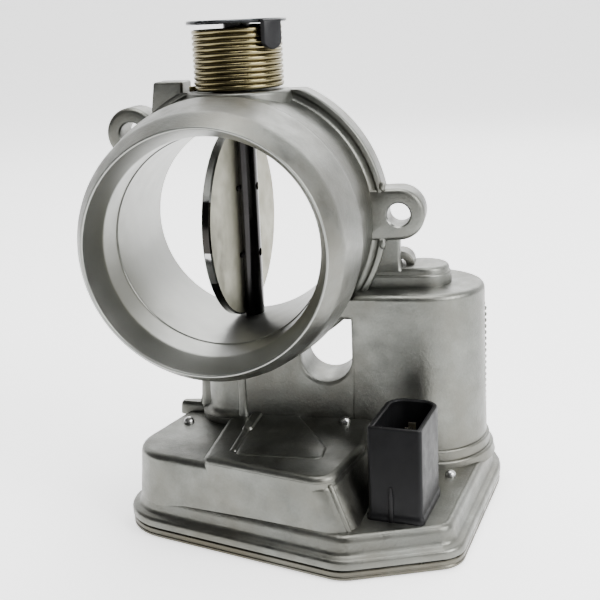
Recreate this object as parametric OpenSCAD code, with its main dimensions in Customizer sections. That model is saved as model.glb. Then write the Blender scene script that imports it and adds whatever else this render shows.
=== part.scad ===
// Electronic throttle body: an upright shaft and plate in an air bore, a motor beside
// the bore and a gear case underneath. Lengths are in millimetres. The origin is on the
// bore's axis in the rear face of the flange, +Z is up and air enters at the -Y end.
// Every sub-part is drawn about the shaft's axis and moved into place by at_shaft().

/* [Air bore] */
// Diameter of the air bore
bore_d = 60; // [59.8:0.1:60.2]
// Distance from the shaft's axis to the flange's rear face
shaft_setback = 10; // [9.5:0.1:10]
// Distance from the shaft's axis to the inlet lip
inlet_l = 52.4; // [51:0.2:54]
// Diameter of the inlet register
register_d = 60.6; // [60.4:0.1:60.8]
// Diameter of the outlet counterbore
outlet_d = 63.4; // [63:0.1:64]

/* [Collar and flange] */
// Diameter of the lip at the mouth
lip_d = 67.2; // [66.6:0.1:68]
// Largest diameter of the collar
collar_d = 79.6; // [79:0.1:80]
// Diameter of the neck behind the collar
neck_d = 77.2; // [76.8:0.1:77.6]
// Diameter of the flange
flange_d = 86.8; // [86:0.2:88]
// Thickness of the flange
flange_t = 11; // [10:0.5:11]
// Diameter of the bolt holes in the ears
ear_hole_d = 7; // [6.4:0.1:7.4]
// Outer diameter of each ear
ear_d = 15.8; // [15:0.2:17]

/* [Shaft and plate] */
// Diameter of the throttle shaft
shaft_d = 8; // [8:0.1:8]
// Diameter of the throttle plate
plate_d = 59.2; // [58.6:0.1:59.3]
// Thickness of the throttle plate
plate_t = 2.7; // [1.8:0.1:2.8]
// Angle between the open plate and the bore's axis
plate_rest_a = 6.2; // [3:0.1:7]

/* [Return spring] */
// Mean diameter of the coil
spring_d = 25.3; // [25:0.1:25.6]
// Diameter of the wire
wire_d = 1.65; // [1.4:0.05:1.7]
// Number of turns
spring_turns = 9.75; // [8.75:1:9.75]

/* [Gear case] */
// Height of the gear case's top face below the shaft's crossing with the bore
case_top = 62; // [61.8:0.1:62.4]
// Height of the joint between the case and the cover
case_joint = 85.8; // [85.6:0.1:86]
// Thickness of the case's walls
case_wall = 2.6; // [2.4:0.1:2.8]
// Thickness of the cover
cover_t = 3; // [2.8:0.1:4]

/* [Gears] */
// Module of the sector gear and the small idler gear
slow_module = 1; // [1:0.1:1]
// Teeth that the sector gear would have all the way round
sector_teeth = 58; // [58:1:58]
// Teeth on the small idler gear
idler_small_teeth = 14; // [14:1:14]
// Module of the motor pinion and the large idler gear
fast_module = 0.75; // [0.75:0.05:0.75]
// Teeth on the large idler gear
idler_large_teeth = 44; // [44:1:44]
// Teeth on the motor pinion
pinion_teeth = 12; // [12:1:12]
// Angle that the plate turns from open to closed
travel_a = 80; // [70:1:80]

/* [Motor] */
// Outer diameter of the motor housing
motor_housing_d = 38.2; // [38:0.1:38.6]
// Outer diameter of the motor can
can_d = 31; // [30:0.2:31.2]

/* [Connector] */
// Width of the socket across its narrow side
socket_w = 15.7; // [15:0.1:16.4]
// Depth of the socket along its long side
socket_l = 25.1; // [24:0.1:25.4]
// Height of the socket's mouth below the shaft's crossing with the bore
socket_top = 49.9; // [48:0.1:52]
// Angle of the socket about the vertical
socket_a = -9.5; // [-10:0.5:-8]

/* [Hidden] */

$fn = 64;
eps = 0.02;
play = 0.03;          // radial running clearance of every shaft
touch = 0.3;          // clearance round parts that pass near each other

bore_r = bore_d / 2;
neck_r = neck_d / 2;
flange_r = flange_d / 2;
shaft_r = shaft_d / 2;
flange_front_y = shaft_setback - flange_t;
ears = [[47, 1], [-35, 27], [-35, -27]];
ear_chamfer = 0.4;
shaft_flat = -0.65;      // where the plate's face lies on the shaft, in the plate's own X

// Relief for the mating pipe's flange, the shoulder under the right ear and the small lug behind it
relief_depth = 0.4;
relief_gap = 0.6;
shoulder = [[38, 3.6, -17.5], [46.8, 9, -4]];
lug_xz = [46.5, -16.6];
lug_r = 4.2;
lug_hole_r = 1.8;
lug_y = 9;
lug_l = 8;

// Upper hub and the boss inside the spring
hub_r = 16;
hub_top = 39.3;
boss_r = 8.6;
boss_top = 50;
bearing_r = 6;
seal_l = 3;
bearing_l = 10;
upper_pocket = 34;
lower_pocket = -48;

// Spring and its cap
cap_z = 58.6;
spring_z = hub_top + wire_d / 2 + 0.15;
spring_pitch = (cap_z - hub_top - wire_d - 0.3) / spring_turns;
spring_start_a = 200;
spring_tang = 3.2;
cap_t = 1.2;
cap_r = 14.9;
tab_a = -37;
tab_w = 6.8;
tab_t = 1.2;
tab_r = 15.2;
tab_drop = 7.6;

// Gear case: circles whose common outline is the case, as [x, y, radius]
motor_xy = [53.3, 11.5];
case_circles = [
    [-17.5, -23.2, 15], [34.9, -48.7, 8], [59.5, -42.2, 6],
    [motor_xy[0], motor_xy[1], 21.5], [-8.4, 24, 10]
];
rim_out = 2.8;
rim_t = 2.8;
gasket_t = 0.6;
cover_out = 2.6;
cover_top = -case_joint - gasket_t;
cover_bottom = cover_top - cover_t;
left_step_x = -7.3;
left_drop = 2.3;
low_top = -77.5;
roof_t = 2.5;
cavity_top = -case_top - left_drop - roof_t;
motor_roof = -73.9;
pad = [1, 27.4, -38, -6];
pad_h = 0.8;

// Web and column below the bore
web_front = -7.7;
web_back = shaft_setback - 0.5;
column_x = -6.5;
window = [24.5, -42.2];
window_r = 7.9;
window_top = -30;

// Motor
motor_housing_r = motor_housing_d / 2;
motor_top = -22.5;
motor_cavity_top = -27;
can_top = -28.5;
can_bottom = -69.9;
can_r = can_d / 2;
can_t = 1.4;
brush_bottom = can_bottom + 3;
motor_shaft_r = 1.6;
ring_steps = [[20.7, -72], [22, -75]];
tier = [[8.7, -18.6], [8.1, -16.6]];
plate_r = 17.4;
plate_thick = 1.5;
motor_screw_xy = [[-12.4, 12.4], [12.4, -12.4]];
motor_screw_r = 1;
motor_head_r = 1.9;
plate_ear_r = 2.3;
lead_x = [2.6, 6.4];
lead_y = -12.6;

// Gears: z levels as [bottom, top]
slow_c = slow_module * (sector_teeth + idler_small_teeth) / 2;
fast_c = fast_module * (idler_large_teeth + pinion_teeth) / 2;
motor_dist = norm(motor_xy);
motor_a = atan2(motor_xy[1], motor_xy[0]);
idler_turn = acos((slow_c ^ 2 + motor_dist ^ 2 - fast_c ^ 2) / (2 * slow_c * motor_dist));
idler_a = motor_a - idler_turn;
idler_xy = slow_c * [cos(idler_a), sin(idler_a)];
idler_to_motor_a = atan2(motor_xy[1] - idler_xy[1], motor_xy[0] - idler_xy[0]);
sector_z = [-81, -76.5];
small_z = [-81.6, -76];
large_z = [-85.2, -81.7];
pinion_z = [-85.6, -81.4];
shaft_bottom = -81.5;
magnet_h = 1.9;
axle_r = 2;
sector_edge_a = 13;
stop_r = 22;
stop_pin_r = 2;

// Connector socket, placed by its front left corner
socket_xy = [41, -44.6];
socket_wall = 1.8;
socket_floor = 8;
socket_neck = 1.0;
flange_grow = 1.2;
wall_gap = 0.1;
flange_z = [-82.6, low_top - roof_t - 0.4];
pin_rows = [4.4, 8.5, 12.6, 16.7, 20.8];
pin_size = [2.2, 0.7];

// Board and sensor
board_t = 1.2;
board_top = cover_top + board_t;

ball_r = 1.7;
balls = [[30.3, -11.2, -case_top], [62.6, -13.4, low_top], [-20.6, -9, -case_top - left_drop]];

// ---------- shared helpers ----------

// Moves a sub-part from the shaft's axis to the frame's origin
module at_shaft() translate([0, -shaft_setback, 0]) children();

// Lays a shape drawn along Z down along +Y, from y0
module along_y(y0) translate([0, y0, 0]) rotate([-90, 0, 0]) children();

// Tube or disc between two heights
module ring(r_out, r_in, z0, z1)
    translate([0, 0, z0]) difference() {
        cylinder(r = r_out, h = z1 - z0);
        if (r_in > 0) translate([0, 0, -1]) cylinder(r = r_in, h = z1 - z0 + 2);
    }

// Block given by its lowest and highest corners
module block(lo, hi) translate(lo) cube(hi - lo);

// Direction of the outward normal where two circles share a tangent, going round anticlockwise
function tangent_a(a, b) =
    atan2(b[1] - a[1], b[0] - a[0]) - acos((a[2] - b[2]) / norm([b[0] - a[0], b[1] - a[1]]));

// Outline wrapped round circles [x, y, radius], grown outwards by g
function wrapped(c, g, steps = 8) = [
    for (i = [0 : len(c) - 1])
        let (
            n = len(c),
            a0 = tangent_a(c[(i + n - 1) % n], c[i]),
            a1 = tangent_a(c[i], c[(i + 1) % n]),
            turn = (a1 - a0) - 360 * floor((a1 - a0) / 360)
        )
        for (k = [0 : steps])
            let (a = a0 + turn * k / steps)
            [c[i][0] + (c[i][2] + g) * cos(a), c[i][1] + (c[i][2] + g) * sin(a)]
];

// Involute angle of a pressure angle, in degrees
function inv(a) = tan(a) * 180 / PI - a;

// Half of a tooth's angle at radius r
function tooth_half(teeth, m, r) =
    let (rb = teeth * m / 2 * cos(20))
    84 / teeth + inv(20) - inv(acos(min(1, rb / max(r, rb))));

// Outline of a spur gear with a tooth centred on angle a0; add is its addendum in modules
function gear_points(teeth, m, add, a0) =
    let (
        rp = teeth * m / 2,
        rb = rp * cos(20),
        root = rp - 1.2 * m,
        radii = [root, max(rb, root + 0.1), rp, rp + add * m / 2, rp + add * m]
    )
    [for (t = [0 : teeth - 1])
        for (k = [0 : 2 * len(radii) - 1])
            let (
                up = k < len(radii),
                r = up ? radii[k] : radii[2 * len(radii) - 1 - k],
                a = a0 + 360 * t / teeth + (up ? -1 : 1) * tooth_half(teeth, m, r)
            )
            r * [cos(a), sin(a)]];

module gear(teeth, m, add, a0, z)
    translate([0, 0, z[0]]) linear_extrude(z[1] - z[0]) polygon(gear_points(teeth, m, add, a0));

module case_slab(grow, z0, z1)
    translate([0, 0, z0]) linear_extrude(z1 - z0) polygon(wrapped(case_circles, grow));

// Screws that hold the cover: points just inside the case's outline
function on_case(i, a) =
    [case_circles[i][0], case_circles[i][1]] + (case_circles[i][2] - 1.5) * [cos(a), sin(a)];
cover_screw_xy = [
    on_case(0, 205), (on_case(0, 251) + on_case(1, 251)) / 2, on_case(1, 270),
    on_case(2, 320), on_case(3, 0), on_case(3, 80), [21, 32], on_case(4, 130)
];
cover_screw_r = 1.3;
cover_boss_r = 3.2;

// ---------- casting ----------

// Outline of the arm that joins an ear centred at c to the flange
function ear_arm(c) =
    let (inward = -c / norm(c), side = [-inward[1], inward[0]] * (ear_d / 2 - 0.8))
    [c + side, c + side + 12 * inward, c - side + 12 * inward, c - side];

module housing_outside() {
    along_y(0) rotate_extrude($fn = 128) polygon([
        [0, -inlet_l], [lip_d / 2, -inlet_l], [lip_d / 2 + 3.5, 6 - inlet_l],
        [collar_d / 2, -29], [neck_r, -28], [neck_r, flange_front_y],
        [flange_r, flange_front_y], [flange_r, shaft_setback], [0, shaft_setback]
    ]);
    for (e = ears) {
        translate([e[0], 0, e[1]]) along_y(flange_front_y) cylinder(d = ear_d, h = flange_t);
        along_y(flange_front_y) linear_extrude(flange_t) polygon(ear_arm([e[0], -e[1]]));
    }
    intersection() {
        ring(hub_r, 0, bore_r - 3, hub_top);
        block([-20, -20, 0], [20, shaft_setback, 60]);
    }
    ring(boss_r, 0, hub_top - 1, boss_top);
    block([-28, -1, 24], [-17.6, shaft_setback - 0.5, 42.2]);
    // shoulder between the right ear and the top of the motor housing
    block(shoulder[0], shoulder[1]);
    column_and_web();
    motor_housing();
    case_shell();
}

module column_and_web() {
    translate([column_x, (web_front + web_back) / 2, -case_top - 1])
        cylinder(r = (web_back - web_front) / 2, h = case_top - 23.5);
    block([column_x, web_front, -case_top - 1], [motor_xy[0], web_back, -24.5]);
    block([-19.8, 1.5, -case_top - 3], [column_x, 5.5, -33]);
    block([-26, 1.5, -case_top - 3], [-19, 5.5, -case_top + 0.6]);
}

// Cut back round the flange, so that the mating pipe's own flange has room beside it
module motor_housing() difference() {
    union() {
        translate(motor_xy) {
            ring(motor_housing_r, 0, low_top - 1, motor_top);
            for (s = ring_steps) {
                ring(s[0], 0, low_top - 1, s[1]);
                block([-16, -s[0], low_top - 1], [0, 0, s[1]]);
            }
            for (t = tier) {
                ring(t[0], 0, motor_top - 1, t[1]);
                block([-19, -t[0], motor_top - 1], [0, t[0], t[1]]);
            }
        }
        block([33, web_front, low_top - 1], [motor_xy[0], web_back, motor_top]);
        translate([lug_xz[0], 0, lug_xz[1]]) along_y(lug_y) cylinder(r = lug_r, h = lug_l);
    }
    along_y(shaft_setback - relief_depth) cylinder(r = flange_r + relief_gap, h = 30);
}

module case_shell() {
    case_slab(0, -case_joint, low_top);
    case_slab(rim_out, -case_joint, rim_t - case_joint);
    intersection() {
        case_slab(-0.8, low_top - 1, -case_top);
        difference() {
            block([-60, -70, low_top - 1], [38, 60, -case_top]);
            block([-60, -70, -case_top - left_drop], [left_step_x, 1.5, 0]);
        }
    }
    block([pad[0], pad[2], -case_top - 1], [pad[1], pad[3], pad_h - case_top]);
}

module housing_inside() {
    // air bore with its inlet countersink, register and outlet counterbore
    along_y(0) rotate_extrude($fn = 128) polygon([
        [0, -inlet_l - 1], [bore_r + 3.4, -inlet_l - 1], [register_d / 2, -44],
        [register_d / 2, -33], [bore_r, -33], [bore_r, shaft_setback - 3],
        [outlet_d / 2, shaft_setback - 3], [outlet_d / 2, shaft_setback + 1], [0, shaft_setback + 1]
    ]);
    for (e = ears) translate([e[0], 0, e[1]]) {
        along_y(flange_front_y - 1) cylinder(d = ear_hole_d, h = flange_t + 2);
        along_y(flange_front_y - ear_chamfer)
            cylinder(r1 = ear_hole_d / 2 + 2 * ear_chamfer, r2 = ear_hole_d / 2, h = 2 * ear_chamfer);
    }
    // shaft passages and bearing pockets
    ring(shaft_r + touch, 0, bore_r - 3, boss_top + 1);
    ring(bearing_r, 0, upper_pocket, boss_top + 1);
    ring(shaft_r + touch, 0, -case_top - 5, 3 - bore_r);
    ring(bearing_r, 0, -case_top - 5, lower_pocket);
    // clearance for the spring above the hub
    ring(hub_r - 1, boss_r, hub_top, 60);
    // window through the web, closed at the top by the neck
    difference() {
        union() {
            translate([window[0], 0, window[1]]) along_y(web_front - 1)
                cylinder(r = window_r, h = 20);
            block([window[0] - window_r, web_front - 1, window[1]],
                [window[0] + window_r, web_back + 1, window_top]);
        }
        along_y(web_front - 2) cylinder(r = neck_r + 0.5, h = 30);
    }
    // motor cavity
    translate(motor_xy) {
        ring(can_r + touch, 0, motor_roof - 1, motor_cavity_top);
        for (p = motor_screw_xy) translate(p) ring(motor_screw_r, 0, motor_roof - 1, motor_roof + 9);
    }
    translate([lug_xz[0], 0, lug_xz[1]]) along_y(lug_y - 1) cylinder(r = lug_hole_r, h = lug_l + 2);
    case_cavity();
    for (p = cover_screw_xy) translate(p) ring(cover_screw_r, 0, -case_joint - 1, -case_joint + 6);
    // blind holes of the idler axle and the two stop pins
    translate(idler_xy) ring(axle_r, 0, motor_roof - 2, motor_roof + 6);
    for (a = stop_angles) rotate(a) translate([stop_r, 0])
        ring(stop_pin_r, 0, cavity_top - 1, cavity_top + 1.5);
    at_socket() socket_slab(-socket_neck + touch / 2, low_top - roof_t - 1, low_top + 1);
    for (b = balls) translate(b) ring(ball_r, 0, -1.5, 1);
}

// Room for the gears, board and motor plate; the roof steps down under the socket
module case_cavity() {
    difference() {
        union() {
            case_slab(-case_wall, -case_joint - 1, low_top - roof_t);
            intersection() {
                case_slab(-case_wall - 0.8, -case_joint, cavity_top);
                block([-60, -70, -case_joint], [35.3, 60, cavity_top + 1]);
                translate([0, 0, -case_joint]) linear_extrude(30)
                    polygon(wrapped([[0, 0, 36], [8, -22, 24]], 0));
            }
            translate(motor_xy) ring(plate_r + touch, 0, low_top - roof_t - 1, motor_roof);
            translate(idler_xy) ring(8.6, 0, low_top - roof_t - 1, small_z[1] + 0.4);
            for (p = motor_screw_xy) translate(motor_xy + p)
                ring(plate_ear_r + 0.2, 0, low_top - roof_t - 1, motor_roof);
        }
        for (p = cover_screw_xy) translate(p) ring(cover_boss_r, 0, -case_joint - 1, -case_joint + 8);
    }
}

module throttle_housing() color([0.66, 0.67, 0.65]) at_shaft() difference() {
    housing_outside();
    housing_inside();
}

// ---------- case parts ----------

module gear_cover() color([0.62, 0.59, 0.53]) at_shaft() difference() {
    case_slab(cover_out, cover_bottom, cover_top);
    for (p = cover_screw_xy) translate(p) {
        ring(cover_screw_r, 0, cover_bottom - 1, cover_top + 1);
        ring(2.7, 0, cover_bottom - 1, cover_bottom + 1.6);
    }
    translate(idler_xy) ring(axle_r, 0, cover_top - 1.6, cover_top + 1);
}

module cover_gasket() color([0.12, 0.12, 0.12]) at_shaft() difference() {
    case_slab(2, cover_top, -case_joint);
    difference() {
        case_slab(-1, cover_top - 1, 1 - case_joint);
        for (p = cover_screw_xy) translate(p) ring(cover_boss_r, 0, cover_top - 2, 2 - case_joint);
    }
    for (p = cover_screw_xy) translate(p) ring(cover_screw_r, 0, cover_top - 1, 1 - case_joint);
}

module cover_screws() color([0.5, 0.5, 0.5]) at_shaft()
    for (p = cover_screw_xy) translate(p) difference() {
        union() {
            ring(2.7, 0, cover_bottom, cover_bottom + 1.6);
            ring(cover_screw_r, 0, cover_bottom + 1, -case_joint + 5.5);
        }
        translate([0, 0, cover_bottom - 1]) cylinder(r = 1.3, h = 1.9, $fn = 6);
    }

module sealing_balls() color([0.3, 0.3, 0.3]) at_shaft()
    for (b = balls) translate([b[0], b[1], b[2] - 1.5 + ball_r]) sphere(r = ball_r - eps, $fn = 32);

// ---------- bearings, seals, stops ----------

module upper_bearing() color([0.75, 0.75, 0.75]) at_shaft()
    ring(bearing_r, shaft_r + play, boss_top - 1 - bearing_l, boss_top - 1);

module lower_bearing() color([0.75, 0.75, 0.75]) at_shaft()
    ring(bearing_r, shaft_r + play, lower_pocket - seal_l - 0.5 - bearing_l, lower_pocket - seal_l - 0.5);

module upper_shaft_seal() color([0.1, 0.1, 0.1]) at_shaft()
    ring(bearing_r, shaft_r + play, upper_pocket, upper_pocket + seal_l);

module lower_shaft_seal() color([0.1, 0.1, 0.1]) at_shaft()
    ring(bearing_r, shaft_r + play, lower_pocket - seal_l, lower_pocket);

stop_angles = [
    sector_edge_a + travel_a + asin((stop_pin_r + touch) / stop_r),
    -sector_edge_a - travel_a - asin((stop_pin_r + touch) / stop_r)
];

module stop_pin(a) rotate(a) translate([stop_r, 0])
    ring(stop_pin_r, 0, sector_z[0], cavity_top + 1.5);

module open_stop_pin() color([0.6, 0.6, 0.6]) at_shaft() stop_pin(stop_angles[0]);
module closed_stop_pin() color([0.6, 0.6, 0.6]) at_shaft() stop_pin(stop_angles[1]);

module idler_axle() color([0.7, 0.7, 0.7]) at_shaft() translate(idler_xy)
    ring(axle_r, 0, cover_top - 1.6, motor_roof + 6);

// ---------- return spring ----------

// Centre of the wire at turn t: a plain helix whose last fraction of a turn runs out as a tang
function spring_point(t) =
    let (
        over = max(0, t - spring_turns) + max(0, -t),
        a = spring_start_a + 360 * min(max(t, 0), spring_turns),
        side = t > spring_turns ? 1 : -1
    )
    [spring_d / 2 * cos(a), spring_d / 2 * sin(a), spring_z + spring_pitch * min(max(t, 0), spring_turns)]
        + over * spring_tang * [cos(a), sin(a), 0];

module return_spring() color([0.62, 0.52, 0.32]) at_shaft() {
    sides = 6;
    steps = 20;
    last = ceil(spring_turns * steps);
    path = [spring_point(-1), for (i = [0 : last]) spring_point(min(i / steps, spring_turns)),
        spring_point(spring_turns + 1)];
    n = len(path);
    points = [for (i = [0 : n - 1])
        let (
            d = path[min(i + 1, n - 1)] - path[max(i - 1, 0)],
            t = d / norm(d),
            u = cross(t, [0, 0, 1]) / norm(cross(t, [0, 0, 1])),
            v = cross(t, u)
        )
        for (k = [0 : sides - 1])
            path[i] + wire_d / 2 * (cos(360 * k / sides) * u + sin(360 * k / sides) * v)];
    faces = concat(
        [[for (k = [0 : sides - 1]) k]],
        [for (i = [0 : n - 2]) for (k = [0 : sides - 1])
            let (k2 = (k + 1) % sides)
            [i * sides + k, (i + 1) * sides + k, (i + 1) * sides + k2, i * sides + k2]],
        [[for (k = [sides - 1 : -1 : 0]) (n - 1) * sides + k]]
    );
    polyhedron(points, faces);
}

// ---------- motor ----------

module motor_can() color([0.55, 0.56, 0.57]) at_shaft() translate(motor_xy) difference() {
    ring(can_r, 0, can_bottom, can_top);
    ring(can_r - can_t, 0, can_bottom - 1, can_top - can_t);
}

module motor_magnets() color([0.2, 0.2, 0.22]) at_shaft() translate(motor_xy) difference() {
    ring(can_r - can_t, 11.6, -62, -34);
    for (a = [0, 180]) rotate(a) block([0, -4, -63], [20, 4, -33]);
}

module motor_end_cap() color([0.15, 0.15, 0.16]) at_shaft() translate(motor_xy) difference() {
    union() {
        ring(can_r, 0, motor_roof, can_bottom);
        ring(can_r - can_t, 0, can_bottom - 0.5, brush_bottom);
    }
    ring(4, 0, motor_roof - 1, brush_bottom + 1);
    for (x = lead_x) block([x - 1.5, lead_y - 1, motor_roof - 1], [x + 1.5, lead_y + 0.6, motor_roof + 3]);
}

module motor_brushes() color([0.18, 0.17, 0.16]) at_shaft() translate(motor_xy)
    for (a = [0, 180]) rotate(a) block([4.6, -1.6, brush_bottom], [9.5, 1.6, brush_bottom + 3.5]);

module motor_bushes() color([0.72, 0.6, 0.35]) at_shaft() translate(motor_xy) {
    ring(4, motor_shaft_r + play, can_top - can_t - 4, can_top - can_t);
    ring(4, motor_shaft_r + play, motor_roof, can_bottom + 2);
}

module motor_wave_washer() color([0.7, 0.7, 0.7]) at_shaft() translate(motor_xy)
    ring(13.5, 10.5, can_top, motor_cavity_top);

module motor_mount_plate() color([0.68, 0.68, 0.66]) at_shaft() translate(motor_xy) difference() {
    union() {
        ring(plate_r, 0, motor_roof - plate_thick, motor_roof);
        for (p = motor_screw_xy) translate(p)
            ring(plate_ear_r, 0, motor_roof - plate_thick, motor_roof);
    }
    ring(6.5, 0, motor_roof - 3, motor_roof + 1);
    for (p = motor_screw_xy) translate(p) ring(motor_screw_r, 0, motor_roof - 3, motor_roof + 1);
    translate(idler_xy - motor_xy) ring(axle_r + 1, 0, motor_roof - 3, motor_roof + 1);
    for (x = lead_x) block([x - 1.6, -19, motor_roof - 3], [x + 1.6, lead_y + 1.2, motor_roof + 1]);
}

module motor_screws() color([0.45, 0.45, 0.45]) at_shaft() translate(motor_xy)
    for (p = motor_screw_xy) translate(p) difference() {
        union() {
            ring(motor_head_r, 0, motor_roof - plate_thick - 1.4, motor_roof - plate_thick);
            ring(motor_screw_r, 0, motor_roof - plate_thick - 0.5, motor_roof + 8);
        }
        translate([0, 0, motor_roof - plate_thick - 2]) cylinder(r = 0.9, h = 1.4, $fn = 6);
    }

module motor_leads() color([0.72, 0.5, 0.3]) at_shaft() translate(motor_xy) for (x = lead_x) {
    block([x - 1, lead_y - 0.9, board_top], [x + 1, lead_y - 0.1, motor_roof + 2.8]);
    block([x - 1, lead_y - 22, board_top], [x + 1, lead_y - 0.5, board_top + 0.8]);
}

// ---------- connector ----------

module at_socket() translate(socket_xy) rotate(socket_a) children();

// Rounded plan of the socket, with a rounder back, as a slab between two heights
module socket_slab(grow, z0, z1)
    translate([0, 0, z0]) linear_extrude(z1 - z0) polygon(wrapped([
        [2, 2, 2], [socket_w - 2, 2, 2],
        [socket_w - 5, socket_l - 5, 5], [5, socket_l - 5, 5]
    ], grow, 6));

module socket_pin_slots(grow, z0, z1)
    for (y = pin_rows) block(
        [socket_w / 2 - pin_size[0] / 2 - grow, y - pin_size[1] / 2 - grow, z0],
        [socket_w / 2 + pin_size[0] / 2 + grow, y + pin_size[1] / 2 + grow, z1]);

// A slab of the socket's plan, trimmed where the case's wall comes near
module under_roof(grow, z0, z1) intersection() {
    at_socket() socket_slab(grow, z0, z1);
    case_slab(-case_wall - wall_gap, z0 - 1, z1 + 1);
}

module connector_socket() color([0.1, 0.1, 0.1]) at_shaft() difference() {
    union() {
        at_socket() {
            socket_slab(0, low_top, -socket_top);
            socket_slab(-socket_neck, flange_z[0], low_top + 1);
        }
        under_roof(flange_grow, flange_z[0], flange_z[1]);
    }
    at_socket() {
        socket_slab(-socket_wall, low_top + socket_floor, -socket_top + 1);
        socket_pin_slots(0, flange_z[0] - 1, low_top + socket_floor + 1);
    }
}

module connector_pins() color([0.75, 0.72, 0.6]) at_shaft() at_socket()
    socket_pin_slots(0, board_top, -socket_top - 6);

module connector_gasket() color([0.45, 0.2, 0.12]) at_shaft() difference() {
    under_roof(flange_grow - 0.2, flange_z[1], low_top - roof_t);
    at_socket() socket_slab(-socket_neck, flange_z[1] - 1, low_top);
}

// ---------- electronics ----------

module circuit_board() color([0.1, 0.3, 0.16]) at_shaft()
    translate([0, 0, cover_top]) linear_extrude(board_t) polygon([
        [-24, -30], [30, -48], [36, -50.5], [57, -43], [63, -20.5],
        [16, -20.5], [13, 12], [-14, 12], [-26, -12]
    ]);

module board_components() color([0.08, 0.08, 0.09]) at_shaft() {
    block([-18, -27, board_top], [-9, -18, board_top + 1.6]);
    block([-3, -31, board_top], [4, -25, board_top + 1.4]);
    translate([12, -34]) ring(3.2, 0, board_top, board_top + 3);
    for (x = [18, 22, 26, 30]) block([x, -28, board_top], [x + 2, -25, board_top + 1]);
}

module position_sensor() color([0.07, 0.07, 0.08]) at_shaft()
    block([-3.2, -3.2, board_top], [3.2, 3.2, board_top + 1]);

// ---------- shaft body ----------

module throttle_shaft() color([0.3, 0.3, 0.31]) at_shaft() difference() {
    ring(shaft_r, 0, shaft_bottom, cap_z + cap_t);
    rotate(-plate_rest_a) block([-6, -6, -bore_r - 0.6], [shaft_flat, 6, bore_r + 0.6]);
    plate_screw_places() ring(1.25, 0, -5, 4);
}

// Puts a child's +Z along the plate's screws, pointing from the plate into the shaft
module plate_screw_places() rotate(-plate_rest_a)
    for (z = [-10.3, 10.3]) translate([0, 0, z]) rotate([0, 90, 0]) children();

module throttle_plate() color([0.6, 0.6, 0.55]) at_shaft() difference() {
    rotate(-plate_rest_a) translate([shaft_flat - plate_t, 0, 0]) rotate([0, 90, 0])
        cylinder(d = plate_d, h = plate_t, $fn = 96);
    plate_screw_places() ring(1.25, 0, -5, 1);
    plate_pin_places() ring(0.8, 0, -5, 1);
}

module plate_pin_places() rotate(-plate_rest_a)
    for (z = [-10.3, 10.3]) for (y = [-5.4, 5.4]) translate([0, y, z]) rotate([0, 90, 0]) children();

module plate_screws() color([0.4, 0.4, 0.4]) at_shaft() plate_screw_places() difference() {
    union() {
        ring(2.6, 0, shaft_flat - plate_t - 1.6, shaft_flat - plate_t);
        ring(1.25, 0, shaft_flat - plate_t - 0.5, 2.6);
    }
    translate([0, 0, shaft_flat - plate_t - 2]) cylinder(r = 1.2, h = 1.4, $fn = 6);
}

module plate_pins() color([0.2, 0.2, 0.2]) at_shaft()
    plate_pin_places() ring(0.8, 0, shaft_flat - plate_t - 0.2, shaft_flat + 0.6);

module spring_cap() color([0.25, 0.26, 0.27]) at_shaft() difference() {
    union() {
        ring(cap_r, 0, cap_z, cap_z + cap_t);
        rotate(tab_a) {
            block([10, -tab_w / 2, cap_z], [tab_r + tab_t, tab_w / 2, cap_z + cap_t]);
            block([tab_r, -tab_w / 2, cap_z - tab_drop + 2], [tab_r + tab_t, tab_w / 2, cap_z + cap_t]);
            block([tab_r, 2 - tab_w / 2, cap_z - tab_drop], [tab_r + tab_t, tab_w / 2 - 2, cap_z]);
            for (s = [-1, 1]) translate([tab_r, s * (tab_w / 2 - 2), cap_z - tab_drop + 2])
                rotate([0, 90, 0]) cylinder(r = 2, h = tab_t);
        }
    }
    ring(shaft_r, 0, cap_z - 1, cap_z + cap_t + 1);
    rotate(238) block([cap_r - 1.4, -1, cap_z - 1], [cap_r + 1, 1, cap_z + cap_t + 1]);
}

module sector_gear() color([0.8, 0.78, 0.7]) at_shaft() difference() {
    union() {
        ring(8, 0, sector_z[0], sector_z[1]);
        intersection() {
            gear(sector_teeth, slow_module, 0.75, idler_a, sector_z);
            translate([0, 0, sector_z[0]]) linear_extrude(sector_z[1] - sector_z[0])
                polygon([[0, 0], for (k = [0 : 6])
                    let (a = -sector_edge_a + (travel_a + 2 * sector_edge_a) * k / 6)
                    40 * [cos(a), sin(a)]]);
        }
    }
    ring(shaft_r, 0, sector_z[0] - 1, sector_z[1] + 1);
    for (a = [15, 40, 65]) rotate(a) translate([16.5, 0]) ring(4.2, 0, sector_z[0] - 1, sector_z[1] + 1);
}

module sensor_magnet() color([0.25, 0.25, 0.28]) at_shaft()
    ring(shaft_r, 0, shaft_bottom - magnet_h, shaft_bottom);

// ---------- idler body ----------

module idler_gear() color([0.82, 0.8, 0.72]) at_shaft() translate(idler_xy) difference() {
    union() {
        // the gap of the small gear faces the sector's tooth; the large one has a tooth at the pinion
        gear(idler_small_teeth, slow_module, 1, idler_a + 180 + 180 / idler_small_teeth, small_z);
        gear(idler_large_teeth, fast_module, 0.68, idler_to_motor_a, large_z);
        ring(5.6, 0, large_z[0], small_z[1]);
    }
    ring(axle_r + play, 0, large_z[0] - 1, small_z[1] + 1);
}

// ---------- rotor body ----------

module motor_shaft() color([0.78, 0.78, 0.8]) at_shaft() translate(motor_xy)
    ring(motor_shaft_r, 0, pinion_z[0], can_top - can_t - 0.2);

module armature() color([0.5, 0.36, 0.25]) at_shaft() translate(motor_xy) difference() {
    ring(10.9, motor_shaft_r, -60, -36);
    for (a = [0 : 60 : 300]) rotate(a) block([9, -0.8, -61], [12, 0.8, -35]);
}

module commutator() color([0.72, 0.48, 0.3]) at_shaft() translate(motor_xy)
    ring(4.5, motor_shaft_r, brush_bottom + 0.2, -60);

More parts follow.
